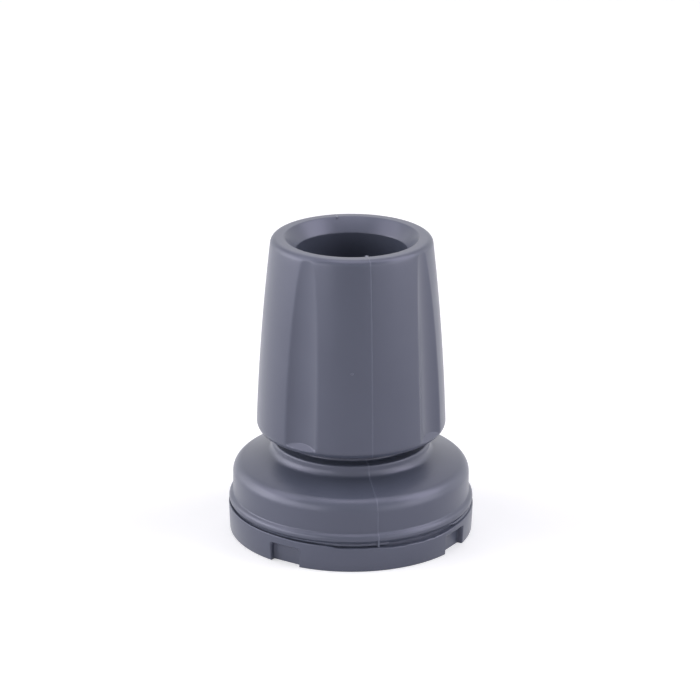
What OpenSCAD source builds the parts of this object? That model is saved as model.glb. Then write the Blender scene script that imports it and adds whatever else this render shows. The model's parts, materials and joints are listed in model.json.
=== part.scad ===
// Push-on rubber tip for the end of a cane, moulded in one piece.
// A fluted sleeve with a blind bore stands on a short neck and a wide round foot.
// Millimetres. +Z is up along the shaft, and the origin is the centre of the underside.

/* [Overall] */
// Height from the floor to the top of the sleeve
total_h = 53; // [44:1:75]
// Diameter of the foot above its tread
foot_d = 41.2; // [34:0.2:56]

/* [Bore] */
// Diameter of the bore that grips the shaft
bore_d = 19; // [14:0.5:24]
// Solid rubber left under the bore
sole_h = 15; // [8:0.5:20]
// Rounding between the wall and the floor of the bore
bore_floor_round = 1; // [0.5:0.1:3]
// Width of the funnel that leads the shaft in
funnel_w = 2; // [0.5:0.1:2.5]
// Depth of the funnel
funnel_h = 2.3; // [0.5:0.1:4]

/* [Sleeve] */
// Wall of the sleeve at its top, measured from the bore
sleeve_top_wall = 4.3; // [4:0.1:6]
// Wall of the sleeve at its bottom edge, measured from the bore
sleeve_foot_wall = 6.95; // [5.5:0.05:8]
// How far the sleeve's side swells beyond a straight taper
sleeve_swell = 0.37; // [0.1:0.01:1.2]
// Rounding of the sleeve's top outer edge
sleeve_top_round = 1.1; // [0.3:0.1:1.6]
// Rounding of the sleeve's bottom outer edge
sleeve_foot_round = 1.6; // [0.3:0.1:2]

/* [Flutes] */
// Number of flutes, and of the tread notches in line with them
flute_count = 4; // [2:1:8]
// Radius of a flute's hollow cross-section
flute_r = 7.5; // [5:0.5:14]
// Depth of a flute at the sleeve's bottom edge
flute_foot_depth = 0.65; // [0.3:0.05:1]
// Depth of a flute at the sleeve's top, where it runs out
flute_top_depth = 0.1; // [0.05:0.05:0.3]
// How far a flute's floor swells beyond a straight line
flute_swell = 0.27; // [0.1:0.01:1]
// Height of the sloped shelf that ends a flute, above the sleeve's bottom edge
shelf_h = 1.9; // [1.7:0.1:6]
// Slope of that shelf, from the horizontal
shelf_slope = 45; // [20:5:60]

/* [Neck] */
// Wall of the neck ring, measured from the bore
ring_wall = 4.1; // [2.8:0.1:5]
// Height of the neck ring
ring_h = 1.8; // [1.5:0.1:5]
// Rounding of the neck ring's top edge
ring_round = 0.4; // [0.1:0.1:0.8]
// Fillet between the neck ring and the foot
ring_fillet = 1.4; // [0.2:0.1:1.9]
// Wall left in the recess between the neck ring and the sleeve, measured from the bore
recess_wall = 2.1; // [1.5:0.1:3]
// Height of that recess
recess_h = 1.9; // [0.8:0.1:4]

/* [Foot] */
// Height of the foot at its rim
foot_h = 12; // [10:0.5:18]
// Rise of the foot's top from its rim to the neck
crown_rise = 2.5; // [0.5:0.1:4]
// Rounding of the foot's top edge
foot_round = 2.1; // [0.5:0.1:3]
// How far the tread's top edge stands out beyond the foot
tread_out = 0.8; // [0.65:0.05:1.5]
// How far the tread tapers back in towards the floor
tread_taper = 0.2; // [0.05:0.05:0.6]
// Height of the tread band
tread_h = 4.55; // [3.8:0.05:6]
// Height of the mould groove above the tread
groove_h = 1.05; // [0.3:0.05:1.4]
// Depth of the mould groove
groove_depth = 0.6; // [0.35:0.05:0.8]
// How far the lip above the groove stands out beyond the foot
lip_out = 0.7; // [0.65:0.05:1.4]
// Height of the lip's edge
lip_h = 0.75; // [0.65:0.05:2]
// Rise of the lip's slope from its edge back to the foot's wall
step_h = 0.6; // [0.5:0.05:1.2]
// Rounding of the edges on either side of the mould groove
groove_round = 0.2; // [0.05:0.05:0.3]
// Rounding from the lip's edge to its slope
lip_round = 0.8; // [0.1:0.05:1.1]
// Fillet between the lip's slope and the foot's wall
step_fillet = 0.3; // [0.1:0.05:1.1]

/* [Tread] */
// Width of a notch in the tread's rim
notch_w = 5.8; // [2:0.1:10]
// Height of a notch
notch_h = 3.3; // [1:0.1:3.6]
// Depth of a notch, in from the tread's top edge
notch_depth = 1.35; // [0.8:0.05:2]
// Rounding of a notch's upper corners
notch_round = 0.5; // [0.1:0.1:0.9]
// Number of ring grooves in the underside
sole_rings = 3; // [1:1:3]
// Width of a ring groove
sole_ring_w = 1.6; // [0.8:0.1:2.4]
// Depth of a ring groove
sole_ring_depth = 1.2; // [0.4:0.1:3]
// Distance from one ring groove to the next
sole_ring_pitch = 4; // [3:0.1:5]
// Width of the plain land outside the ring grooves
sole_land = 3; // [2.5:0.1:4]

/* [Hidden] */

rubber = [0.40, 0.41, 0.46];

bore_r = bore_d / 2;
foot_r = foot_d / 2;
tread_r = foot_r + tread_out;
tread_foot_r = tread_r - tread_taper;
lip_r = foot_r + lip_out;
groove_r = lip_r - groove_depth;
ring_r = bore_r + ring_wall;
recess_r = bore_r + recess_wall;
sleeve_top_r = bore_r + sleeve_top_wall;
sleeve_foot_r = bore_r + sleeve_foot_wall;

// Levels, from the floor upwards
lip_z = tread_h + groove_h;
step_z = lip_z + lip_h;
wall_z = step_z + step_h;
ring_z = foot_h + crown_rise;
recess_z = ring_z + ring_h;
sleeve_z = recess_z + recess_h;
shelf_z = sleeve_z + shelf_h;
mouth_z = total_h - funnel_h;

// The sleeve's side and the flutes' floors are shallow arcs, each given as
// [centre, radius] in the plane of radius and height.
side_arc = swelled_arc([sleeve_foot_r, sleeve_z], [sleeve_top_r, total_h], sleeve_swell);
flute_arc = swelled_arc([sleeve_foot_r - flute_foot_depth, sleeve_z],
                        [sleeve_top_r - flute_top_depth, total_h], flute_swell);

flute_step = 360 / flute_count;
flute_turn = flute_step / 2;

over = 1;               // how far a cutter runs past the surface it opens
facets_round = 144;     // facets of a full turn about the axis
facets_small = 64;      // facets of a fillet
facets_arc = 3600;      // facets of a shallow arc's whole circle

// Arc from a up to b that stands out from their chord by swell.
function swelled_arc(a, b, swell) =
    let (chord = b - a,
         length = norm(chord),
         outward = [chord[1], -chord[0]] / length,
         radius = (length * length / 4 + swell * swell) / (2 * swell))
    [(a + b) / 2 - outward * (radius - swell), radius];

// Radius of an arc's point at height z.
function arc_at(arc, z) = arc[0][0] + sqrt(pow(arc[1], 2) - pow(z - arc[0][1], 2));

// Direction of a point as seen from a centre.
function direction(centre, point) = atan2(point[1] - centre[1], point[0] - centre[0]);

// Centre of the circle of radius r inside an arc that touches both it and height z,
// with side 1 where the circle lies under that height and -1 where it stands on it.
function touching_centre(arc, z, r, side) =
    let (centre_z = z - side * r)
    [arc_at([arc[0], arc[1] - r], centre_z), centre_z];

// Rounding of radius r in the corner at p, between its neighbours a and b, as
// [where it leaves a's side, its centre, where it meets b's side].
function rounding(a, p, b, r) =
    let (to_a = (a - p) / norm(a - p),
         to_b = (b - p) / norm(b - p),
         half = acos(to_a * to_b) / 2,
         reach = r / tan(half))
    [p + to_a * reach,
     p + (to_a + to_b) / norm(to_a + to_b) * r / sin(half),
     p + to_b * reach];

// What rounding the outer corner at p, between its neighbours a and b, takes off.
module corner_cap(a, p, b, r) {
    arc = rounding(a, p, b, r);
    difference() {
        polygon([arc[0], p + (p - arc[1]) / 2, arc[2]]);
        translate(arc[1]) circle(r = r, $fn = facets_small);
    }
}

// What lies outside a circle between two directions from its centre.
module wedge_cap(centre, r, from, to) {
    middle = (from + to) / 2;
    reach = 2 * r;
    corner = reach / cos((to - from) / 2);
    difference() {
        translate(centre)
            polygon([[0, 0],
                     reach * [cos(from), sin(from)],
                     corner * [cos(middle), sin(middle)],
                     reach * [cos(to), sin(to)]]);
        translate(centre) circle(r = r, $fn = facets_small);
    }
}

// Half section of the sleeve, without its bore.
module sleeve_section() {
    top = touching_centre(side_arc, total_h, sleeve_top_round, 1);
    foot = touching_centre(side_arc, sleeve_z, sleeve_foot_round, -1);
    difference() {
        intersection() {
            translate(side_arc[0]) circle(r = side_arc[1], $fn = facets_arc);
            translate([0, sleeve_z])
                square([sleeve_foot_r + sleeve_swell + over, total_h - sleeve_z]);
        }
        wedge_cap(top, sleeve_top_round, direction(side_arc[0], top), 90);
        wedge_cap(foot, sleeve_foot_round, -90, direction(side_arc[0], foot));
    }
}

// Half section of the foot and neck.
module foot_section() {
    tread_foot = [tread_foot_r, 0];
    tread = [tread_r, tread_h];
    groove_foot = [groove_r, tread_h];
    groove_top = [groove_r, lip_z];
    lip_foot = [lip_r, lip_z];
    lip_top = [lip_r, step_z];
    step = [foot_r, wall_z];
    rim = [foot_r, foot_h];
    ring_foot = [ring_r, ring_z];
    ring_top = [ring_r, recess_z];
    recess_foot = [recess_r, recess_z];
    step_arc = rounding(lip_top, step, rim, step_fillet);
    ring_arc = rounding(rim, ring_foot, ring_top, ring_fillet);
    difference() {
        polygon([[0, 0], tread_foot, tread, groove_foot, groove_top, lip_foot, lip_top,
                 each step_arc, rim, each ring_arc, ring_top, recess_foot,
                 [recess_r, sleeve_z + over], [0, sleeve_z + over]]);
        translate(step_arc[1]) circle(r = step_fillet, $fn = facets_small);
        translate(ring_arc[1]) circle(r = ring_fillet, $fn = facets_small);
        corner_cap(tread_foot, tread, groove_foot, groove_round);
        corner_cap(groove_top, lip_foot, lip_top, groove_round);
        corner_cap(lip_foot, lip_top, step, lip_round);
        corner_cap(step, rim, ring_foot, foot_round);
        corner_cap(ring_foot, ring_top, recess_foot, ring_round);
    }
}

module blank() {
    rotate_extrude($fn = facets_round) {
        sleeve_section();
        foot_section();
    }
}

// Blind bore with a rounded floor, and the funnel at its mouth.
module bore() {
    translate([0, 0, sole_h + bore_floor_round])
        cylinder(r = bore_r, h = total_h, $fn = facets_round);
    translate([0, 0, sole_h])
        rotate_extrude($fn = facets_round)
            intersection() {
                square([bore_r, bore_floor_round + over]);
                union() {
                    translate([bore_r - bore_floor_round, bore_floor_round])
                        circle(r = bore_floor_round, $fn = facets_small);
                    square([bore_r - bore_floor_round, bore_floor_round + over]);
                }
            }
    slope = funnel_w / funnel_h;
    translate([0, 0, mouth_z])
        cylinder(r1 = bore_r, r2 = bore_r + funnel_w + over * slope,
                 h = funnel_h + over, $fn = facets_round);
}

// Cutter for the flute that faces +X. Its tube follows the flute's floor, and a
// slanted block keeps it clear of the shelf at the bottom.
module flute_cutter() {
    centre = flute_arc[0];
    path_r = flute_arc[1] + flute_r;
    bottom = direction(centre, [arc_at(flute_arc, sleeve_z), sleeve_z]);
    top = direction(centre, [arc_at(flute_arc, total_h + over), total_h + over]);
    shelf = [arc_at(flute_arc, shelf_z), 0, shelf_z];
    block = 4 * flute_r;
    difference() {
        translate([centre[0], 0, centre[1]])
            rotate([90, 0, 0])
                rotate([0, 0, bottom])
                    rotate_extrude(angle = top - bottom, $fn = facets_arc)
                        translate([path_r, 0])
                            circle(r = flute_r, $fn = 2 * facets_small);
        translate(shelf)
            rotate([0, shelf_slope, 0])
                translate([-block / 2, -block / 2, -block])
                    cube(block);
    }
}

// Cutter for the tread notch that faces +X.
module notch_cutter() {
    half = notch_w / 2;
    top_left = [-half, notch_h];
    top_right = [half, notch_h];
    translate([tread_r - notch_depth, 0, 0])
        rotate([90, 0, 90])
            linear_extrude(height = notch_depth + over)
                difference() {
                    translate([-half, -over])
                        square([notch_w, notch_h + over]);
                    corner_cap([-half, 0], top_left, top_right, notch_round);
                    corner_cap(top_left, top_right, [half, 0], notch_round);
                }
}

module around_axis() {
    for (i = [0 : flute_count - 1])
        rotate([0, 0, flute_turn + i * flute_step])
            children();
}

// Ring grooves in the underside, from the outermost inwards.
module sole_grooves() {
    for (i = [0 : sole_rings - 1]) {
        outer_r = tread_r - notch_depth - sole_land - i * sole_ring_pitch;
        translate([0, 0, -over])
            difference() {
                cylinder(r = outer_r, h = sole_ring_depth + over, $fn = facets_round);
                translate([0, 0, -over])
                    cylinder(r = outer_r - sole_ring_w, h = sole_ring_depth + 3 * over,
                             $fn = facets_round);
            }
    }
}

module cane_tip() {
    color(rubber)
        difference() {
            blank();
            bore();
            around_axis() flute_cutter();
            around_axis() notch_cutter();
            sole_grooves();
        }
}

cane_tip();
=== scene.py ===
"""A moulded rubber tip for the end of a cane, laid out as an add-on and run as a script."""
import json
import math

import bmesh
import bpy
from bpy.props import (
    FloatProperty,
    FloatVectorProperty,
    IntProperty,
    PointerProperty,
)
from mathutils import Matrix, Vector


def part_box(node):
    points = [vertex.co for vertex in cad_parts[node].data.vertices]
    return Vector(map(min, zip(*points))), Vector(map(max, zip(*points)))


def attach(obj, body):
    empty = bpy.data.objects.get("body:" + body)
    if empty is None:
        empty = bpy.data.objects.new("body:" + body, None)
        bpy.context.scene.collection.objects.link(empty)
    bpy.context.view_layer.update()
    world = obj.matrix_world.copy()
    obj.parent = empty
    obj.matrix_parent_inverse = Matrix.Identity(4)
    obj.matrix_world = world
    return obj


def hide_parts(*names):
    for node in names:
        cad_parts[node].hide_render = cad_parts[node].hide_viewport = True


bl_info = {
    "name": "Rubber cane tip",
    "version": (1, 0, 0),
    "blender": (4, 5, 0),
    "location": "View3D > Sidebar > Cane tip",
    "description": "Builds a fluted push-on rubber tip and a plain studio round it",
    "category": "Add Mesh",
}

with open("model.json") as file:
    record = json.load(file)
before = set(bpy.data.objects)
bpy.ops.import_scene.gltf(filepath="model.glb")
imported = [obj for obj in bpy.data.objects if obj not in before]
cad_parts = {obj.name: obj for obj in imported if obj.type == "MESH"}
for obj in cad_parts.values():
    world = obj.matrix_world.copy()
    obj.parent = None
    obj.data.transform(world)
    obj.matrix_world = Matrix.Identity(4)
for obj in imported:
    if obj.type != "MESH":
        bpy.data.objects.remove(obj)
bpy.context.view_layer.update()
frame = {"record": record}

MM = 0.001
AXIS_GAP = 0.1 * MM  # radius of the circle that an outline is swept round
WELD = MM / 1000  # points nearer than this become one

# How fine the meshes are
COLUMNS = 320
CROWDING = 0.55  # how far the columns crowd towards the flutes, from 0 to 1
FINE_ROW = 0.06 * MM
COARSE_ROW = 0.6 * MM
FINE_ROWS_OVER_SHELF = 4
LONGEST_STEP = 2.5 * MM
PARTING_STEP = 0.25 * MM
BEAD_STEPS = 8
RING_STEPS = 720
RING_SIDES = 12

# Edges that turn more than this stay sharp
BODY_CREASE = math.radians(35)
BEAD_CREASE = math.radians(70)
RING_CREASE = math.radians(60)

NODE = "cane_tip"
BODY = "root"
BORE = next(m for m in frame["record"]["mounts"] if m["name"] == "bore")

TOTAL_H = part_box(NODE)[1].z
TREAD_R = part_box(NODE)[1].x
BORE_R = BORE["dims"]["r_mm"] * MM


def size(name, description, millimetres):
    """A length property, whose default is given in millimetres."""
    return FloatProperty(
        name=name,
        description=description,
        default=millimetres * MM,
        unit="LENGTH",
        subtype="DISTANCE",
        precision=5,
    )


def angle(name, description, degrees):
    """An angle property, whose default is given in degrees."""
    return FloatProperty(
        name=name,
        description=description,
        default=math.radians(degrees),
        unit="ROTATION",
        subtype="ANGLE",
    )


def colour(name, description, rgb):
    """A colour property, in linear values."""
    return FloatVectorProperty(
        name=name,
        description=description,
        default=rgb,
        size=3,
        subtype="COLOR",
        min=0,
        max=1,
    )


def factor(name, description, value, top=1.0):
    """A plain number property."""
    return FloatProperty(name=name, description=description, default=value, min=0, max=top)


class TipBoreSizes(bpy.types.PropertyGroup):
    """Sizes of the bore and its mouth."""

    radius: size("Radius", "Radius of the bore that grips the shaft", BORE_R / MM)
    floor_z: size("Floor", "Height of the bore's floor", 15)
    floor_round: size("Floor rounding", "Rounding between the bore's wall and floor", 1)
    funnel_w: size("Funnel width", "Width of the funnel at the mouth", 2)
    funnel_h: size("Funnel depth", "Depth of the funnel at the mouth", 2.3)
    mouth_round: size("Mouth rounding", "Rounding of the funnel's two edges", 0.4)


class TipSleeveSizes(bpy.types.PropertyGroup):
    """Sizes of the sleeve and its flutes."""

    foot_z: size("Bottom", "Height of the sleeve's bottom edge", 18.2)
    foot_r: size("Bottom radius", "Radius of the sleeve's bottom edge", 16.45)
    top_z: size("Top", "Height of the top face, under its flash's crest", TOTAL_H / MM - 0.07)
    top_r: size("Top radius", "Radius of the sleeve's top edge", 13.8)
    swell: size("Swell", "How far the side swells beyond a straight taper", 0.37)
    foot_round: size("Bottom rounding", "Rounding of the bottom edge", 1.6)
    top_round: size("Top rounding", "Rounding of the top outer edge", 1.2)
    flutes: IntProperty(
        name="Flutes",
        description="Number of flutes, and of the notches in line with them",
        default=4,
        min=1,
        max=8,
    )
    flute_r: size("Flute radius", "Radius of a flute's hollow section", 7.5)
    flute_foot: size("Flute depth, bottom", "Depth of a flute at the bottom edge", 1.0)
    flute_top: size("Flute depth, top", "Depth of a flute at the top", 0.08)
    flute_swell: size("Flute swell", "How far a flute's floor swells", 0.1)
    shelf_z: size("Shelf", "Height where a flute's floor meets its shelf", 20.1)
    shelf_slope: angle("Shelf slope", "Slope of the shelf that ends a flute", 45)
    ease: size("Crease easing", "How softly the flutes' creases turn", 0.06)


class TipFootSizes(bpy.types.PropertyGroup):
    """Sizes of the neck, the foot and the tread."""

    recess_r: size("Recess radius", "Radius of the recess under the sleeve", 11.6)
    recess_z: size("Recess", "Height where the recess starts", 16.3)
    recess_round: size("Recess rounding", "Rounding in the recess's corners", 0.3)
    ring_r: size("Ring radius", "Radius of the neck ring", 13.6)
    ring_z: size("Ring", "Height of the neck ring's foot", 14.5)
    ring_round: size("Ring rounding", "Rounding of the ring's top edge", 0.4)
    ring_fillet: size("Ring fillet", "Fillet between the ring and the foot", 1.4)
    wall_r: size("Foot radius", "Radius of the foot's wall", 20.6)
    wall_top: size("Foot height", "Height of the foot's rim", 12)
    wall_round: size("Foot rounding", "Rounding of the foot's top edge", 2.5)
    wall_foot: size("Wall's foot", "Height where the wall meets the lip", 6.75)
    wall_fillet: size("Wall fillet", "Fillet between the wall and the lip", 0.3)
    lip_r: size("Lip radius", "Radius of the lip", 21.3)
    lip_top: size("Lip top", "Height where the lip's edge meets its slope", 6.3)
    lip_round: size("Lip rounding", "Rounding from the lip's edge to its slope", 0.8)
    lip_under: size("Lip's underside", "Rounding from the lip's edge to its underside", 0.4)
    groove_top: size("Groove top", "Height where the lip's underside starts", 5.6)
    groove_foot: size("Groove foot", "Height of the mould groove's foot", 4.55)
    groove_depth: size("Groove depth", "Depth of the mould groove", 0.9)
    groove_round: size("Groove rounding", "Rounding of the tread's top edge", 0.2)
    groove_fillet: size("Groove fillet", "Fillet at the back of the groove", 0.08)
    tread_r: size("Tread radius", "Radius of the tread's top edge", TREAD_R / MM)
    tread_foot_r: size("Tread foot radius", "Radius of the tread's bottom edge", 21.2)
    tread_round: size("Tread rounding", "Rounding of the tread's bottom edge", 0.15)
    notch_w: size("Notch width", "Width of a tread notch", 5.6)
    notch_h: size("Notch height", "Height of a tread notch", 3.3)
    notch_back_r: size("Notch back", "Distance from the axis to a notch's flat back", 20.05)
    notch_corner: size("Notch corners", "Rounding of a notch's upper corners", 0.5)
    notch_round: size("Notch easing", "Easing inside a notch and at its mouth", 0.2)
    rings: IntProperty(
        name="Sole rings",
        description="Number of ring grooves in the underside",
        default=3,
        min=0,
        max=3,
    )
    sole_land: size("Sole land", "Plain land outside the ring grooves", 3)
    sole_ring_w: size("Sole ring width", "Width of a ring groove", 1.6)
    sole_ring_depth: size("Sole ring depth", "Depth of a ring groove", 1.2)
    sole_ring_pitch: size("Sole ring pitch", "From one ring groove to the next", 4)
    sole_ring_round: size("Sole ring rounding", "Rounding of the grooves' edges", 0.15)


class TipFlashSizes(bpy.types.PropertyGroup):
    """Sizes of the thin flash that the mould leaves."""

    width: size("Parting width", "Width of the flash on the parting line", 0.3)
    height: size("Parting height", "Height of the flash on the parting line", 0.035)
    drop: size("Drop", "How far the parting line runs down the tread", 0.15)
    flap: size("Flap", "How far the flash overhangs the funnel's rim", 0.4)
    crest_r: size("Crest radius", "Radius of the ring of flash in the mould groove", 21.28)
    root_r: size("Root radius", "Radius where that ring starts, inside the rubber", 20.2)
    ragged: size("Raggedness", "How far that ring's edges wander", 0.1)
    tear: size("Tear length", "Length of the ragged steps in that ring", 0.8)
    torn: size("Torn edge", "How far the tread's top edge is torn down at its worst", 0.5)
    whole: size("Whole edge", "How far that edge stands up into the groove elsewhere", 0.42)
    pip_r: size("Pip radius", "Radius of the vent pip", 0.26)
    pip_h: size("Pip height", "Height of the vent pip", 0.1)
    pip_z: size("Pip place", "Height of the vent pip on the sleeve", 33.65)
    pip_turn: angle("Pip turn", "Angle from the front parting line to the vent pip", -12.3)


class RubberLook(bpy.types.PropertyGroup):
    """Colour and surface of the moulded rubber."""

    tint: colour("Rubber", "Colour of the rubber", (0.0735, 0.0825, 0.116))
    bloom: colour("Bloom", "Paler colour where the rubber has bloomed", (0.081, 0.091, 0.126))
    flash: colour("Flash", "Colour of the flash on the parting line", (0.098, 0.109, 0.15))
    roughness: factor("Roughness", "Roughness of the moulded surface", 0.32)
    specular: factor("Specular", "Strength of the surface's own shine", 0.73)
    shine: colour("Shine", "Tint of the surface's own shine", (0.825, 0.808, 1.0))
    grain: size("Grain", "Size of the moulded grain", 0.22)
    grain_depth: size("Grain depth", "Depth of the moulded grain", 0.004)
    cloud: size("Clouding", "Size of the clouds of bloom", 6)


class StageLook(bpy.types.PropertyGroup):
    """Camera, lamps and floor."""

    view_azimuth: angle("Azimuth", "Direction of the camera round the tip", -12.8)
    view_reach: size("Reach", "Distance of the camera along the floor", 491.8)
    view_z: size("Camera height", "Height of the camera", 208.98)
    view_aim: size("Aim height", "Height that the camera looks at", 32.36)
    view_side: size("Side step", "Sideways step of the camera", -0.24)
    view_roll: angle("Roll", "Roll of the camera", 0.2)
    lens: FloatProperty(
        name="Lens",
        description="Focal length, in millimetres",
        default=155.95,
        min=1,
        max=500,
        subtype="DISTANCE_CAMERA",
    )
    white: colour("Background", "Colour of the floor and the background", (1, 1, 1))
    ambient: factor("Ambient", "Light that the white surroundings throw", 0.04, 5)
    high_tint: colour("High tint", "Colour of the soft boxes overhead", (0.94, 0.92, 1.0))
    floor_reach: size("Floor reach", "From the tip to the floor's edge", 4000)
    floor_pale: factor("Floor paleness", "How much light the floor sends back", 0.8)
    floor_glow: factor("Floor glow", "How far the floor is lifted to white", 0.42)
    far_glow: factor("Far glow", "How much more it is lifted far off, where less light falls", 0.25)
    far_from: size("Far glow from", "Distance where the far glow starts", 200)
    far_to: size("Far glow to", "Distance where the far glow is full", 700)
    light: factor("Light", "Level of all the soft boxes", 1.0, 10)
    box_reach: size("Box distance", "Distance of the soft boxes", 600)
    box_side: size("Box side", "Width and height of a soft box", 400)


GROUPS = (
    ("tip_bore", TipBoreSizes),
    ("tip_sleeve", TipSleeveSizes),
    ("tip_foot", TipFootSizes),
    ("tip_flash", TipFlashSizes),
    ("tip_rubber", RubberLook),
    ("tip_stage", StageLook),
)


# Outlines


def corner(a, p, b, radius, steps):
    """Points of a rounding of that radius in the corner at p, between neighbours a and b."""
    to_a, to_b = (a - p).normalized(), (b - p).normalized()
    half = to_a.angle(to_b) / 2
    centre = p + (to_a + to_b).normalized() * radius / math.sin(half)
    first = p + to_a * radius / math.tan(half) - centre
    sweep = (math.pi - 2 * half) * (1 if to_a.cross(to_b) < 0 else -1)
    turns = (Matrix.Rotation(sweep * i / steps, 2) for i in range(steps + 1))
    return [centre + turn @ first for turn in turns]


def rounded(corners, closed=False):
    """Outline through corners, each given as (radius, height, rounding, steps)."""
    points = [Vector(c[:2]) for c in corners]
    outline = []
    for i, (_, _, radius, steps) in enumerate(corners):
        end = not closed and i in (0, len(corners) - 1)
        if end or not radius:
            outline.append(points[i])
        else:
            after = points[(i + 1) % len(points)]
            outline += corner(points[i - 1], points[i], after, radius, steps)
    return outline


def filled(outline, longest):
    """The same outline with points added so that no step is over the longest."""
    dense = [outline[0]]
    for a, b in zip(outline, outline[1:]):
        steps = max(1, math.ceil((b - a).length / longest))
        dense += [a.lerp(b, i / steps) for i in range(1, steps + 1)]
    return dense


class Arc:
    """A shallow arc from a up to b that stands out from their chord by swell."""

    def __init__(self, a, b, swell):
        chord = b - a
        self.radius = (chord.length_squared / 4 + swell * swell) / (2 * swell)
        outward = Vector((chord.y, -chord.x)).normalized()
        self.centre = (a + b) / 2 - outward * (self.radius - swell)

    def at(self, z):
        """Radius from the tip's axis at height z."""
        return self.centre.x + math.sqrt(self.radius**2 - (z - self.centre.y) ** 2)


def sole_corners(foot):
    """Corners of the underside, from the axis out to the tread's bottom edge."""
    corners = [(0, 0, 0, 0)]
    for i in reversed(range(foot.rings)):
        outer = foot.notch_back_r - foot.sole_land - i * foot.sole_ring_pitch
        inner = outer - foot.sole_ring_w
        for r, z in ((inner, 0), (inner, foot.sole_ring_depth)):
            corners.append((r, z, foot.sole_ring_round, 3))
        for r, z in ((outer, foot.sole_ring_depth), (outer, 0)):
            corners.append((r, z, foot.sole_ring_round, 3))
    corners.append((foot.tread_foot_r, 0, foot.tread_round, 3))
    return corners


def foot_corners(foot, sleeve):
    """Corners from the mould groove up to the underside of the sleeve."""
    groove_r = foot.lip_r - foot.groove_depth
    return [
        (foot.tread_r, foot.groove_foot, foot.groove_round, 4),
        (groove_r, foot.groove_foot, foot.groove_fillet, 2),
        (foot.lip_r, foot.groove_top, foot.lip_under, 6),
        (foot.lip_r, foot.lip_top, foot.lip_round, 6),
        (foot.wall_r, foot.wall_foot, foot.wall_fillet, 6),
        (foot.wall_r, foot.wall_top, foot.wall_round, 10),
        (foot.ring_r, foot.ring_z, foot.ring_fillet, 10),
        (foot.ring_r, foot.recess_z, foot.ring_round, 5),
        (foot.recess_r, foot.recess_z, foot.recess_round, 3),
        (foot.recess_r, sleeve.foot_z, foot.recess_round, 3),
    ]


def side_corners(sleeve):
    """Corners of the sleeve's side, with close rows where the flutes' shelves lie.

    The rows keep clear of the roundings at both ends.
    """
    foot, top = Vector((sleeve.foot_r, sleeve.foot_z)), Vector((sleeve.top_r, sleeve.top_z))
    side = Arc(foot, top, sleeve.swell)
    z, last = sleeve.foot_z + 1.1 * sleeve.foot_round, sleeve.top_z - 1.2 * sleeve.top_round
    corners = [(foot.x, foot.y, sleeve.foot_round, 24)]
    while z < last:
        corners.append((side.at(z), z, 0, 0))
        z += FINE_ROW if z < sleeve.shelf_z + FINE_ROWS_OVER_SHELF * FINE_ROW else COARSE_ROW
    corners.append((top.x, top.y, sleeve.top_round, 10))
    return corners


def mouth_corners(bore, top_z):
    """Corners from the funnel's rim down to the middle of the bore's floor."""
    return [
        (bore.radius + bore.funnel_w, top_z, bore.mouth_round, 3),
        (bore.radius, top_z - bore.funnel_h, bore.mouth_round, 3),
        (bore.radius, bore.floor_z, bore.floor_round, 6),
        (0, bore.floor_z, 0, 0),
    ]


def tip_outline(scene):
    """The moulding's half section, from the middle of its underside to the bore's floor."""
    foot, sleeve, bore = scene.tip_foot, scene.tip_sleeve, scene.tip_bore
    corners = sole_corners(foot) + foot_corners(foot, sleeve)
    corners += side_corners(sleeve) + mouth_corners(bore, sleeve.top_z)
    return filled(rounded(corners), LONGEST_STEP)


def parting_corners(scene):
    """Corners of the parting line: in over the tip from the tread to the funnel's mouth."""
    foot, sleeve, flash = scene.tip_foot, scene.tip_sleeve, scene.tip_flash
    start = (foot.lip_r, foot.groove_foot - flash.drop, 0, 0)
    over_groove = foot_corners(foot, sleeve)[3:]
    rim_r = scene.tip_bore.radius + scene.tip_bore.funnel_w
    flap = (rim_r - flash.flap, sleeve.top_z - flash.height, 0, 0)
    return [start, *over_groove, *side_corners(sleeve), flap]


def linked(name, data):
    """An object of that data, in the scene."""
    made = bpy.data.objects.new(name, data)
    bpy.context.scene.collection.objects.link(made)
    return made


def mesh_object(name, mesh):
    """A mesh object made from a bmesh, which is freed."""
    data = bpy.data.meshes.new(name)
    mesh.to_mesh(data)
    mesh.free()
    return linked(name, data)


def empty_carrier(name):
    """A mesh object with nothing in it, for a tree that makes its own geometry."""
    return linked(name, bpy.data.meshes.new(name))


def add_spline(carrier, points):
    """Adds a spline through the points, each (x, y, z), to a curve object."""
    spline = carrier.data.splines.new("POLY")
    spline.points.add(len(points) - 1)
    for point, place in zip(spline.points, points):
        point.co = (*place, 1)


def curve_object(name, points):
    """A curve object with one spline through the points."""
    data = bpy.data.curves.new(name, "CURVE")
    data.dimensions = "3D"
    made = linked(name, data)
    add_spline(made, points)
    return made


# Node trees


class Field:
    """A number in a node tree, so that node maths reads as ordinary arithmetic."""

    def __init__(self, tree, socket):
        self.tree = tree
        self.socket = socket

    def maths(self, operation, *others):
        """A Math node of that operation, with this number first."""
        node = self.tree.nodes.new("ShaderNodeMath")
        node.operation = operation
        for slot, value in zip(node.inputs, (self, *others)):
            feed(self.tree, slot, value)
        return Field(self.tree, node.outputs[0])

    def __add__(self, other):
        return self.maths("ADD", other)

    def __sub__(self, other):
        return self.maths("SUBTRACT", other)

    def __mul__(self, other):
        return self.maths("MULTIPLY", other)

    def __truediv__(self, other):
        return self.maths("DIVIDE", other)

    def root(self):
        return self.maths("SQRT")

    def sin(self):
        return self.maths("SINE")

    def cos(self):
        return self.maths("COSINE")

    def floor(self):
        return self.maths("FLOOR")

    def at_least(self, other):
        return self.maths("MAXIMUM", other)

    def over(self, other):
        return self.maths("GREATER_THAN", other)

    def soft_min(self, other, ease):
        return self.maths("SMOOTH_MIN", other, ease)

    def soft_max(self, other, ease):
        return self.maths("SMOOTH_MAX", other, ease)


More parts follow.
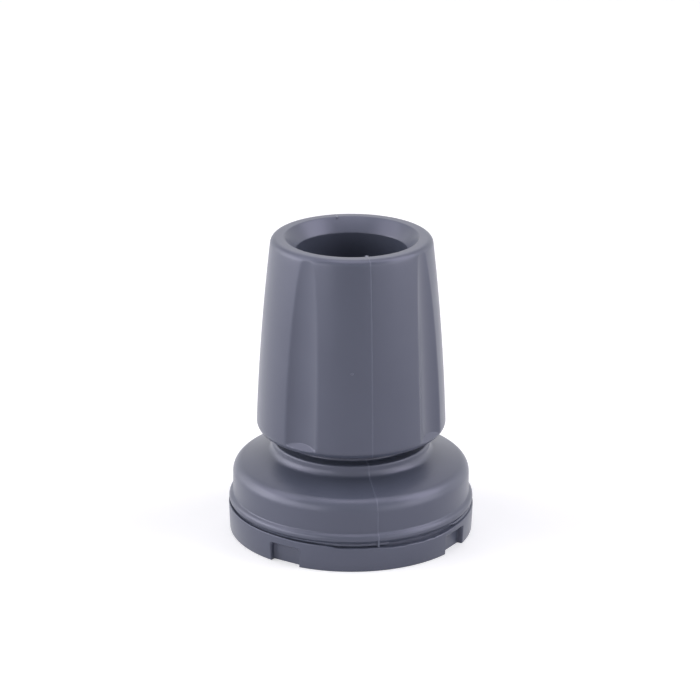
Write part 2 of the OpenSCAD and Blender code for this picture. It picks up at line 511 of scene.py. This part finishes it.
def feed(tree, slot, value):
    """Links a socket or a Field to a node's input, or sets the input's own value."""
    if isinstance(value, Field):
        value = value.socket
    if isinstance(value, bpy.types.NodeSocket):
        tree.links.new(value, slot)
    elif value is not None:
        slot.default_value = value


class ShapeTree:
    """A Geometry Nodes tree with named inputs, built from the top down."""

    KINDS = {
        float: "NodeSocketFloat",
        int: "NodeSocketInt",
        bpy.types.Object: "NodeSocketObject",
        bpy.types.Material: "NodeSocketMaterial",
    }

    def __init__(self, name):
        self.tree = bpy.data.node_groups.new(name, "GeometryNodeTree")
        for way in ("INPUT", "OUTPUT"):
            self.tree.interface.new_socket(
                "Geometry", in_out=way, socket_type="NodeSocketGeometry"
            )
        self.source = self.tree.nodes.new("NodeGroupInput")
        self.values = {}

    @property
    def geometry(self):
        """The geometry of the object that carries the tree."""
        return self.source.outputs["Geometry"]

    def value(self, name, value):
        """A named input of the tree, set to value."""
        kind = next(kind for kind in self.KINDS if isinstance(value, kind))
        item = self.tree.interface.new_socket(
            name, in_out="INPUT", socket_type=self.KINDS[kind]
        )
        self.values[item.identifier] = value
        socket = self.source.outputs[name]
        return Field(self.tree, socket) if kind in (float, int) else socket

    def node(self, kind, inputs=None, **settings):
        """A node of that kind, with its settings, and its inputs given by name or place."""
        node = self.tree.nodes.new(kind)
        for name, setting in settings.items():
            setattr(node, name, setting)
        for slot, value in (inputs or {}).items():
            feed(self.tree, node.inputs[slot], value)
        return node

    def position(self):
        """The x, y and z of the points."""
        place = self.node("GeometryNodeInputPosition").outputs[0]
        parts = self.node("ShaderNodeSeparateXYZ", {0: place})
        return [Field(self.tree, out) for out in parts.outputs]

    def place(self, geometry, x, y, z):
        """The geometry with its points moved to x, y, z."""
        where = self.node("ShaderNodeCombineXYZ", {0: x, 1: y, 2: z}).outputs[0]
        moved = self.node(
            "GeometryNodeSetPosition", {"Geometry": geometry, "Position": where}
        )
        return moved.outputs[0]

    def ring(self, steps, radius):
        """A circle round the Z axis, as a curve."""
        made = self.node(
            "GeometryNodeCurvePrimitiveCircle", {"Resolution": steps, "Radius": radius}
        )
        return made.outputs[0]

    def wander(self, length, seed):
        """Seeded noise from about -1 to 1 that changes over that length."""
        noise = self.node(
            "ShaderNodeTexNoise",
            {"W": seed, "Scale": 1 / length, "Detail": 2.0},
            noise_dimensions="4D",
        )
        return (Field(self.tree, noise.outputs[0]) - 0.5) * 4

    def stations(self, turn, rows, column):
        """One column of the rows, each (angle in degrees, values from 0 to 1), drawn round."""
        drawn = self.node("ShaderNodeFloatCurve", {"Value": turn / math.tau + 0.5})
        line = drawn.mapping.curves[0]
        for i, row in enumerate(rows):
            at, value = row[0] / 360 + 0.5, row[column]
            point = line.points[i] if i < 2 else line.points.new(at, value)
            point.location = (at, value)
            point.handle_type = "AUTO_CLAMPED"
        drawn.mapping.update()
        return Field(self.tree, drawn.outputs[0])

    def smoothed(self, geometry, crease):
        """The geometry shaded smooth, apart from edges that turn more than the crease."""
        smooth = self.node("GeometryNodeSetShadeSmooth", {"Geometry": geometry}).outputs[0]
        turn = Field(self.tree, self.node("GeometryNodeInputMeshEdgeAngle").outputs[0])
        creased = self.node(
            "GeometryNodeSetShadeSmooth",
            {"Geometry": smooth, "Selection": turn.over(crease), "Shade Smooth": False},
            domain="EDGE",
        )
        return creased.outputs[0]

    def finish(self, geometry, material):
        """Ends the tree: instances made real, and the material set."""
        real = self.node("GeometryNodeRealizeInstances", {"Geometry": geometry}).outputs[0]
        painted = self.node(
            "GeometryNodeSetMaterial", {"Geometry": real, "Material": material}
        ).outputs[0]
        end = self.node("NodeGroupOutput")
        feed(self.tree, end.inputs["Geometry"], painted)

    def run(self, carrier, name):
        """Runs the tree on the carrier and keeps its result as a plain mesh piece."""
        modifier = carrier.modifiers.new(self.tree.name, "NODES")
        modifier.node_group = self.tree
        for identifier, value in self.values.items():
            modifier[identifier] = value
        depsgraph = bpy.context.evaluated_depsgraph_get()
        mesh = bpy.data.meshes.new_from_object(carrier.evaluated_get(depsgraph))
        mesh.name = name
        carrier.modifiers.remove(modifier)
        bpy.data.objects.remove(carrier)
        if not mesh.polygons:
            raise RuntimeError(f"{name} came out empty")
        return linked(name, mesh)


def revolved(shape, outline, columns):
    """An outline swept round the Z axis and closed at its poles.

    Curve to Mesh lays the outline's x outwards from the circle and its y downwards,
    so the outline is drawn as (radius - AXIS_GAP, -height).
    """
    swept = shape.node(
        "GeometryNodeCurveToMesh",
        {"Curve": shape.ring(columns, AXIS_GAP), "Profile Curve": outline},
    )
    merged = shape.node(
        "GeometryNodeMergeByDistance", {"Geometry": swept.outputs[0], "Distance": WELD}
    )
    return merged.outputs[0]


def fluted(shape, body, sleeve):
    """The body with its flutes pressed in, all alike, midway between the X and Y axes.

    Columns are first crowded towards the flutes. Then each point is seen from its own
    flute, as u outwards and v across, and u is held down to the flute's hollow and shelf.
    """
    foot = Vector((sleeve.foot_r - sleeve.flute_foot, sleeve.foot_z))
    top = Vector((sleeve.top_r - sleeve.flute_top, sleeve.top_z))
    arc = Arc(foot, top, sleeve.flute_swell)
    count = shape.value("Flutes", float(sleeve.flutes))
    crowding = shape.value("Crowding", CROWDING)
    hollow_r = shape.value("Flute radius", sleeve.flute_r)
    arc_r = shape.value("Floor arc radius", arc.radius)
    arc_x = shape.value("Floor arc centre", arc.centre.x)
    arc_z = shape.value("Floor arc height", arc.centre.y)
    shelf_z = shape.value("Shelf height", sleeve.shelf_z)
    shelf_run = shape.value("Shelf run", 1 / math.tan(sleeve.shelf_slope))
    ease = shape.value("Crease easing", sleeve.ease)

    x, y, z = shape.position()
    radius = (x * x + y * y).root()
    around = y.maths("ARCTAN2", x)
    around = around + (around * count).sin() * crowding / count
    step = count.maths("POWER", -1) * math.tau
    middle = ((around / step).floor() + 0.5) * step
    u = radius * (around - middle).cos()
    v = radius * (around - middle).sin()

    floor = (arc_r * arc_r - (z - arc_z) * (z - arc_z)).root() + arc_x
    hollow = floor + hollow_r - (hollow_r * hollow_r - v * v).at_least(0).root()
    shelf = (shelf_z - z) * shelf_run + arc.at(sleeve.shelf_z)
    u = u.soft_min(hollow.soft_max(shelf, ease), ease)
    pressed_x = u * middle.cos() - v * middle.sin()
    pressed_y = u * middle.sin() + v * middle.cos()
    return shape.place(body, pressed_x, pressed_y, z)


def notched(shape, body, cutter, count):
    """The body less the cutter, set at as many places round the axis as there are flutes."""
    cut = shape.node(
        "GeometryNodeObjectInfo",
        {"Object": shape.value("Notch cutter", cutter), "As Instance": True},
        transform_space="RELATIVE",
    )
    places = shape.node("GeometryNodeMeshCircle", {"Vertices": count, "Radius": AXIS_GAP})
    index = Field(shape.tree, shape.node("GeometryNodeInputIndex").outputs[0])
    turn = (index + 0.5) * (math.tau / count)
    spin = shape.node("ShaderNodeCombineXYZ", {2: turn}).outputs[0]
    centred = shape.node(
        "GeometryNodeSetPosition",
        {"Geometry": places.outputs[0], "Position": shape.node("ShaderNodeCombineXYZ").outputs[0]},
    )
    copies = shape.node(
        "GeometryNodeInstanceOnPoints",
        {"Points": centred.outputs[0], "Instance": cut.outputs["Geometry"], "Rotation": spin},
    )
    real = shape.node("GeometryNodeRealizeInstances", {0: copies.outputs[0]})
    return shape.node(
        "GeometryNodeMeshBoolean",
        {"Mesh 1": body, "Mesh 2": real.outputs[0]},
        operation="DIFFERENCE",
        solver="MANIFOLD",
    ).outputs["Mesh"]


# The parting line's bead, as parts of its own size, and where its start as a flap ends, as
# a part of the flap's height
BEAD_SHARE = 0.9
BEAD_WAVER = 0.3
BEAD_WAVE = 2 * MM  # over this length the size wavers
FLAP_FULLER = 1.4
FLAP_END = 1.5


def parting_bead(shape, path, flash):
    """A low bead along the parting line, uneven, and fuller where it starts as a flap."""
    along = Field(shape.tree, shape.node("GeometryNodeSplineParameter").outputs["Length"])
    y = shape.position()[1]
    seed = shape.value("Seed", 3.0)
    flap = shape.value("Flap", FLAP_END * flash.flap)
    full = (along / flap * -1 + 1).at_least(0) * (y * -1).over(0) * FLAP_FULLER
    size = shape.wander(BEAD_WAVE, seed) * BEAD_WAVER + BEAD_SHARE + full
    across = shape.value("Half width", flash.width / 2)
    above = shape.value("Height", flash.height)
    flat = shape.node("ShaderNodeCombineXYZ", {0: across, 1: above, 2: 1.0}).outputs[0]
    section = shape.node(
        "GeometryNodeTransform", {"Geometry": shape.ring(BEAD_STEPS, 1.0), "Scale": flat}
    )
    swept = shape.node(
        "GeometryNodeCurveToMesh",
        {"Curve": path, "Profile Curve": section.outputs[0], "Scale": size, "Fill Caps": True},
    )
    return swept.outputs[0]


# The tread's top edge, by angle from the front parting line: how far it is torn down, and
# how far it stands up whole, each as a part of its largest value.
EDGE_STATIONS = (
    (-180, 0.0, 0.6),
    (-150, 0.0, 0.6),
    (-100, 0.0, 0.8),
    (-62, 0.0, 0.9),
    (-40, 0.0, 0.55),
    (-24, 0.0, 0.2),
    (-18, 0.45, 0.0),
    (2, 0.5, 0.0),
    (8, 0.9, 0.0),
    (28, 0.9, 0.0),
    (36, 0.6, 0.0),
    (46, 0.3, 0.0),
    (66, 0.0, 0.2),
    (140, 0.0, 0.0),
    (150, 0.6, 0.0),
    (158, 0.0, 0.0),
    (180, 0.0, 0.6),
)
TEAR_SHARE = 0.95  # the usual part of the stated tear
TEAR_WAVER = 0.25


def round_axis(x, y):
    """The distance from the tip's axis, and the angle from the front parting line."""
    return (x * x + y * y).root(), x.maths("ARCTAN2", y * -1)


def torn_edge(shape, body, foot, flash):
    """The body with the tread's top edge torn down, or standing up into the groove.

    Only the edge and the groove's foot move. The rise fades out towards the groove's back.
    """
    x, y, z = shape.position()
    radius, turn = round_axis(x, y)
    torn = shape.value("Torn edge", flash.torn)
    edge = foot.groove_foot
    near = z.over(edge - 2 * foot.groove_round) * (z * -1).over(-edge - foot.groove_round / 2)
    near = near * radius.over(foot.lip_r - 1.2 * foot.groove_depth)
    drop = shape.stations(turn, EDGE_STATIONS, 1) * torn
    uneven = shape.wander(flash.tear, shape.value("Tear seed", 7.0))
    drop = drop * (uneven * TEAR_WAVER + TEAR_SHARE)
    outwards = (radius + foot.groove_depth - foot.lip_r) / foot.groove_depth
    whole = shape.value("Whole edge", flash.whole)
    rise = shape.stations(turn, EDGE_STATIONS, 2) * outwards * whole
    return shape.place(body, x, y, z + (rise - drop) * near)


# The ring of flash, by angle from the front parting line: the height of its middle and its
# thickness as parts of the groove's height, and how far it reaches out, from 0 to 1.
FLASH_STATIONS = (
    (-180, 0.45, 0.45, 0.62),
    (-95, 0.50, 0.50, 0.65),
    (-60, 0.50, 0.50, 0.68),
    (-30, 0.40, 0.40, 0.62),
    (-17, 0.20, 0.35, 0.7),
    (3, 0.20, 0.30, 0.7),
    (8, 0.10, 0.10, 0.0),
    (36, 0.10, 0.10, 0.0),
    (45, 0.05, 0.20, 0.6),
    (49, 0.10, 0.30, 0.8),
    (80, 0.10, 0.40, 0.9),
    (110, 0.10, 0.30, 0.8),
    (135, 0.10, 0.15, 0.2),
    (160, 0.40, 0.40, 0.6),
    (180, 0.45, 0.45, 0.62),
)
REACH_SHARE = 0.94  # the usual part of the stated reach
REACH_WAVER = 0.12
LEAST_REACH = 0.1  # so that the ring stays whole where it is torn away
FRAY = 0.5  # half of the fray's height, as a part of the raggedness


def torn_ring(shape, foot, flash):
    """A ragged ring of flash in the mould groove.

    It starts as a ring of unit section, MM in radius. Each point is then set out by its
    place in that section: out from the root to the crest, and up from the ring's middle.
    """
    seed = shape.value("Seed", 11.0)
    ring_r = shape.value("Root radius", flash.root_r)
    crest = shape.value("Crest reach", flash.crest_r - flash.root_r)
    groove_z = shape.value("Groove foot", foot.groove_foot)
    groove_h = shape.value("Groove height", foot.groove_top - foot.groove_foot)
    ragged = shape.value("Raggedness", flash.ragged)
    tear = flash.tear

    swept = shape.node(
        "GeometryNodeCurveToMesh",
        {"Curve": shape.ring(RING_STEPS, ring_r), "Profile Curve": shape.ring(RING_SIDES, MM)},
    )
    x, y, z = shape.position()
    radius, turn = round_axis(x, y)
    outwards = (radius - ring_r) / MM
    upwards = z / MM
    middle = shape.stations(turn, FLASH_STATIONS, 1)
    thick = shape.stations(turn, FLASH_STATIONS, 2)
    reach = shape.stations(turn, FLASH_STATIONS, 3)
    torn = (shape.wander(tear, seed) * REACH_WAVER + REACH_SHARE).maths("MINIMUM", 1)
    reach = reach * torn * (1 - LEAST_REACH) + LEAST_REACH
    out = (outwards * 0.5 + 0.5) * reach * crest + ring_r
    up = groove_z + groove_h * (middle + upwards * thick)
    up = up + upwards * ragged * shape.wander(tear, seed + 5) * FRAY
    return shape.place(swept.outputs[0], x / radius * out, y / radius * out, up)


# Materials


ROUGH_SPREAD = 0.12  # how far the clouds change the roughness
CLOUD_DETAIL = 4
GRAIN_DETAIL = 3


def rubber_material(look, name, tint, bloom):
    """Moulded rubber: a fine satin grain, with faint clouds of bloom."""
    made = bpy.data.materials.new(name)
    made.use_nodes = True
    tree = made.node_tree
    shader = tree.nodes["Principled BSDF"]
    shader.inputs["Specular IOR Level"].default_value = look.specular
    shader.inputs["Specular Tint"].default_value = (*look.shine, 1)
    place = tree.nodes.new("ShaderNodeTexCoord").outputs["Object"]

    def noise(scale, detail):
        node = tree.nodes.new("ShaderNodeTexNoise")
        node.inputs["Scale"].default_value = 1 / scale
        node.inputs["Detail"].default_value = detail
        tree.links.new(place, node.inputs["Vector"])
        return node.outputs["Fac"]

    clouds = noise(look.cloud, CLOUD_DETAIL)
    grain = noise(look.grain, GRAIN_DETAIL)
    mix = tree.nodes.new("ShaderNodeMix")
    mix.data_type = "RGBA"
    mix.inputs["A"].default_value = (*tint, 1)
    mix.inputs["B"].default_value = (*bloom, 1)
    tree.links.new(clouds, mix.inputs["Factor"])
    tree.links.new(mix.outputs["Result"], shader.inputs["Base Color"])
    rough = Field(tree, clouds) * ROUGH_SPREAD + (look.roughness - ROUGH_SPREAD / 2)
    feed(tree, shader.inputs["Roughness"], rough)
    bump = tree.nodes.new("ShaderNodeBump")
    bump.inputs["Distance"].default_value = look.grain_depth
    tree.links.new(grain, bump.inputs["Height"])
    tree.links.new(bump.outputs["Normal"], shader.inputs["Normal"])
    return made


def material(name, build):
    """The scene's material of that name, built the first time it is asked for."""
    return bpy.data.materials.get(name) or build()


def rubber(scene):
    """The tip's rubber."""
    look, name = scene.tip_rubber, "moulded_rubber"
    return material(name, lambda: rubber_material(look, name, look.tint, look.bloom))


def flash_rubber(scene):
    """The same rubber, paler, as thin flash is."""
    look, name = scene.tip_rubber, "flash_rubber"
    return material(name, lambda: rubber_material(look, name, look.flash, look.flash))


def settle(piece, *nodes):
    """Hangs the piece on the body's empty, and hides the parts from model.glb that it replaces."""
    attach(piece, BODY)
    if nodes:
        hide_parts(*nodes)


# Operators


def arch(half_width, height, rounding, steps=6):
    """Outline of a notch, as (across, up), from its left foot over to its right foot."""
    foot = -MM
    ceiling = [(half_width * i / steps, height, 0, 0) for i in range(1 - steps, steps)]
    corners = [
        (-half_width, foot, 0, 0),
        (-half_width, height, rounding, steps),
        *ceiling,
        (half_width, height, rounding, steps),
        (half_width, foot, 0, 0),
    ]
    return rounded(corners)


def lofted(name, layers):
    """A closed solid through layers of equally many points."""
    mesh = bmesh.new()
    rings = [[mesh.verts.new(point) for point in layer] for layer in layers]
    for low, high in zip(rings, rings[1:]):
        for i, vertex in enumerate(low):
            j = (i + 1) % len(low)
            mesh.faces.new((vertex, low[j], high[j], high[i]))
    mesh.faces.new(rings[0])
    mesh.faces.new(rings[-1])
    bmesh.ops.recalc_face_normals(mesh, faces=mesh.faces)
    return mesh_object(name, mesh)


# Layers of the notch cutter, as parts of the notch's easing: the middle of a rounding, and
# how far the flare goes on outside the wall, outwards and across.
EASE_MIDDLE = 0.3
FLARE_OUT = 3
FLARE_ACROSS = 3.6


def notch_cutter(foot):
    """Cutter for the tread notch that faces +X: flat at its back, eased inside and flared
    where it meets the tread's round wall."""
    ease, back = foot.notch_round, foot.notch_back_r
    half, height = foot.notch_w / 2, foot.notch_h
    middle = EASE_MIDDLE * ease
    layers = []
    for depth, inset in ((0, ease), (middle, middle), (ease, 0)):
        outline = arch(half - inset, height - inset, foot.notch_corner)
        layers.append([(back + depth, v, z) for v, z in outline])
    for reach, flare in ((-ease, 0), (-middle, middle), (FLARE_OUT * ease, FLARE_ACROSS * ease)):
        outline = arch(half + flare, height + flare, foot.notch_corner)
        radius = foot.tread_foot_r + reach
        layers.append([(math.sqrt(radius**2 - v * v), v, z) for v, z in outline])
    return lofted("notch_cutter", layers)


class CANETIP_OT_moulding(bpy.types.Operator):
    """Build the moulded tip: sleeve, neck, foot and tread in one piece"""

    bl_idname = "canetip.moulding"
    bl_label = "Moulding"

    def execute(self, context):
        scene = context.scene
        outline = [(p.x - AXIS_GAP, -p.y, 0) for p in reversed(tip_outline(scene))]
        carrier = curve_object("tip_outline", outline)
        cutter = notch_cutter(scene.tip_foot)
        shape = ShapeTree("Moulded tip")
        body = revolved(shape, shape.geometry, shape.value("Columns", COLUMNS))
        body = fluted(shape, body, scene.tip_sleeve)
        body = torn_edge(shape, body, scene.tip_foot, scene.tip_flash)
        body = notched(shape, body, cutter, scene.tip_sleeve.flutes)
        body = shape.smoothed(body, BODY_CREASE)
        shape.finish(body, shape.value("Rubber", rubber(scene)))
        piece = shape.run(carrier, "moulding")
        bpy.data.objects.remove(cutter)
        settle(piece, NODE)
        return {"FINISHED"}


class CANETIP_OT_parting_flash(bpy.types.Operator):
    """Lay the thin flash along the mould's parting line, front and back"""

    bl_idname = "canetip.parting_flash"
    bl_label = "Parting flash"

    def execute(self, context):
        scene = context.scene
        path = filled(rounded(parting_corners(scene)), PARTING_STEP)[::-1]
        carrier = curve_object("parting_line", [(0, -p.x, p.y) for p in path])
        add_spline(carrier, [(0, p.x, p.y) for p in path])
        shape = ShapeTree("Parting flash")
        bead = parting_bead(shape, shape.geometry, scene.tip_flash)
        bead = shape.smoothed(bead, BEAD_CREASE)
        shape.finish(bead, shape.value("Rubber", flash_rubber(scene)))
        settle(shape.run(carrier, "parting_flash"))
        return {"FINISHED"}


class CANETIP_OT_groove_flash(bpy.types.Operator):
    """Lay the ragged ring of flash in the mould groove"""

    bl_idname = "canetip.groove_flash"
    bl_label = "Groove flash"

    def execute(self, context):
        scene = context.scene
        shape = ShapeTree("Groove flash")
        ring = torn_ring(shape, scene.tip_foot, scene.tip_flash)
        ring = shape.smoothed(ring, RING_CREASE)
        shape.finish(ring, shape.value("Rubber", rubber(scene)))
        settle(shape.run(empty_carrier("groove_ring"), "groove_flash"))
        return {"FINISHED"}


class CANETIP_OT_vent_pip(bpy.types.Operator):
    """Set the small pip that the mould's vent leaves on the sleeve"""

    bl_idname = "canetip.vent_pip"
    bl_label = "Vent pip"

    def execute(self, context):
        scene = context.scene
        sleeve, flash = scene.tip_sleeve, scene.tip_flash
        foot = Vector((sleeve.foot_r, sleeve.foot_z))
        top = Vector((sleeve.top_r, sleeve.top_z))
        side_r = Arc(foot, top, sleeve.swell).at(flash.pip_z)
        lean = math.atan2(foot.x - top.x, top.y - foot.y)
        mesh = bmesh.new()
        bmesh.ops.create_uvsphere(mesh, u_segments=24, v_segments=12, radius=1)
        flat = Matrix.Diagonal((flash.pip_r, flash.pip_h, flash.pip_r, 1))
        tilt = Matrix.Rotation(-lean, 4, "X")
        out = Matrix.Translation((0, -side_r, flash.pip_z))
        turn = Matrix.Rotation(flash.pip_turn, 4, "Z")
        mesh.transform(turn @ out @ tilt @ flat)
        for face in mesh.faces:
            face.smooth = True
        pip = mesh_object("vent_pip", mesh)
        pip.data.materials.append(flash_rubber(scene))
        settle(pip)
        return {"FINISHED"}


class CANETIP_OT_stage(bpy.types.Operator):
    """Set up the floor, the surroundings, the lamps and the camera"""

    bl_idname = "canetip.stage"
    bl_label = "Stage"

    def execute(self, context):
        look = context.scene.tip_stage
        floor_plane(look)
        surroundings(context.scene, look)
        soft_boxes(context.scene, look)
        studio_camera(context.scene, look)
        context.scene.view_settings.view_transform = "Standard"
        return {"FINISHED"}


def seen_white(tree):
    """1 for a ray from the camera, or one that a glossy or a clear surface sends on."""
    seen = tree.nodes.new("ShaderNodeLightPath")
    ways = ("Is Camera Ray", "Is Glossy Ray", "Is Transmission Ray")
    camera, glossy, clear = (Field(tree, seen.outputs[way]) for way in ways)
    return camera.at_least(glossy).at_least(clear)


def floor_plane(look):
    """A wide white floor, which keeps the tip's shadow and goes over into the background."""
    reach = look.floor_reach
    mesh = bpy.data.meshes.new("floor")
    corners = [(-reach, -reach, 0), (reach, -reach, 0), (reach, reach, 0), (-reach, reach, 0)]
    mesh.from_pydata(corners, [], [(0, 1, 2, 3)])
    floor = linked("floor", mesh)
    made = bpy.data.materials.new("floor_white")
    made.use_nodes = True
    tree = made.node_tree
    tree.nodes.clear()
    paint = tree.nodes.new("ShaderNodeBsdfDiffuse")
    paint.inputs["Color"].default_value = (*(look.floor_pale * c for c in look.white), 1)
    glow = tree.nodes.new("ShaderNodeEmission")
    glow.inputs["Color"].default_value = (*look.white, 1)
    away = tree.nodes.new("ShaderNodeVectorMath")
    away.operation = "LENGTH"
    tree.links.new(tree.nodes.new("ShaderNodeTexCoord").outputs["Object"], away.inputs[0])
    lift = tree.nodes.new("ShaderNodeMapRange")
    tree.links.new(away.outputs["Value"], lift.inputs["Value"])
    lift.inputs["From Min"].default_value = look.far_from
    lift.inputs["From Max"].default_value = look.far_to
    lift.inputs["To Min"].default_value = look.floor_glow
    lift.inputs["To Max"].default_value = look.floor_glow + look.far_glow
    feed(tree, glow.inputs["Strength"], seen_white(tree) * Field(tree, lift.outputs["Result"]))
    both = tree.nodes.new("ShaderNodeAddShader")
    end = tree.nodes.new("ShaderNodeOutputMaterial")
    tree.links.new(paint.outputs[0], both.inputs[0])
    tree.links.new(glow.outputs[0], both.inputs[1])
    tree.links.new(both.outputs[0], end.inputs["Surface"])
    floor.data.materials.append(made)


def surroundings(scene, look):
    """A white world, at full strength where it is seen or mirrored."""
    world = bpy.data.worlds.new("surroundings")
    world.use_nodes = True
    tree = world.node_tree
    back = tree.nodes["Background"]
    back.inputs["Color"].default_value = (*look.white, 1)
    feed(tree, back.inputs["Strength"], seen_white(tree) * (1 - look.ambient) + look.ambient)
    scene.world = world


# The soft boxes: turn round the tip from the camera, to the right, and height above the
# floor, both in degrees; radiance. Those higher than HIGH_LIFT take the high tint.
HIGH_LIFT = 30
SOFT_BOXES = (
    ("left", -92, 12, 1.8),
    ("left_high", -92, 45, 1.72),
    ("left_front", -75, 12, 1.95),
    ("left_back", -115, 12, 1.0),
    ("right_front", 75, 12, 1.75),
    ("right_high", 90, 45, 2.8),
    ("right_back", 115, 12, 0.48),
    ("back", 180, 45, 0.83),
    ("above", 0, 88, 1.72),
    ("front_left", -45, 12, 1.6),
    ("front_right", 45, 12, 1.05),
)


def soft_boxes(scene, look):
    """The soft boxes, in a ring round the tip and one above, all aimed at its middle."""
    middle = Vector((0, 0, TOTAL_H / 2))
    side = look.box_side
    for name, turn, lift, radiance in SOFT_BOXES:
        data = bpy.data.lights.new(f"box_{name}", "AREA")
        data.shape = "SQUARE"
        data.size = side
        data.energy = radiance * look.light * side * side * math.pi
        if lift > HIGH_LIFT:
            data.color = look.high_tint
        lamp = bpy.data.objects.new(data.name, data)
        swing = Matrix.Rotation(look.view_azimuth + math.radians(turn), 3, "Z")
        rise = Matrix.Rotation(-math.radians(lift), 3, "X")
        lamp.location = middle + swing @ rise @ Vector((0, -look.box_reach, 0))
        aim = middle - lamp.location
        lamp.rotation_euler = aim.to_track_quat("-Z", "Y").to_euler()
        scene.collection.objects.link(lamp)


def studio_camera(scene, look):
    """A long lens from the front, a little above the rim."""
    turn = Matrix.Rotation(look.view_azimuth, 4, "Z")
    place = turn @ Vector((look.view_side, -look.view_reach, look.view_z))
    aim = turn @ Vector((look.view_side, 0, look.view_aim))
    data = bpy.data.cameras.new("camera")
    data.lens = look.lens
    camera = bpy.data.objects.new("camera", data)
    heading = (aim - place).to_track_quat("-Z", "Y").to_matrix().to_4x4()
    roll = Matrix.Rotation(look.view_roll, 4, "Z")
    camera.matrix_world = Matrix.Translation(place) @ heading @ roll
    scene.collection.objects.link(camera)
    scene.camera = camera


class CANETIP_PT_panel(bpy.types.Panel):
    """Lists the pieces, with their sizes and colours"""

    bl_idname = "CANETIP_PT_panel"
    bl_label = "Cane tip"
    bl_space_type = "VIEW_3D"
    bl_region_type = "UI"
    bl_category = "Cane tip"

    def draw(self, context):
        layout = self.layout
        for step in STEPS:
            layout.operator(step.bl_idname)
        for name, group in GROUPS:
            box = layout.box()
            box.label(text=group.__doc__)
            for prop in group.__annotations__:
                box.prop(getattr(context.scene, name), prop)


STEPS = (
    CANETIP_OT_moulding,
    CANETIP_OT_parting_flash,
    CANETIP_OT_groove_flash,
    CANETIP_OT_vent_pip,
    CANETIP_OT_stage,
)
CLASSES = (*(group for _, group in GROUPS), *STEPS, CANETIP_PT_panel)


def register():
    for cls in CLASSES:
        bpy.utils.register_class(cls)
    for name, group in GROUPS:
        setattr(bpy.types.Scene, name, PointerProperty(type=group))


def unregister():
    for name, _ in GROUPS:
        delattr(bpy.types.Scene, name)
    for cls in reversed(CLASSES):
        bpy.utils.unregister_class(cls)


def main():
    """Builds the tip and its stage."""
    register()
    for step in STEPS:
        family, action = step.bl_idname.split(".")
        getattr(getattr(bpy.ops, family), action)()


if __name__ == "__main__":
    main()
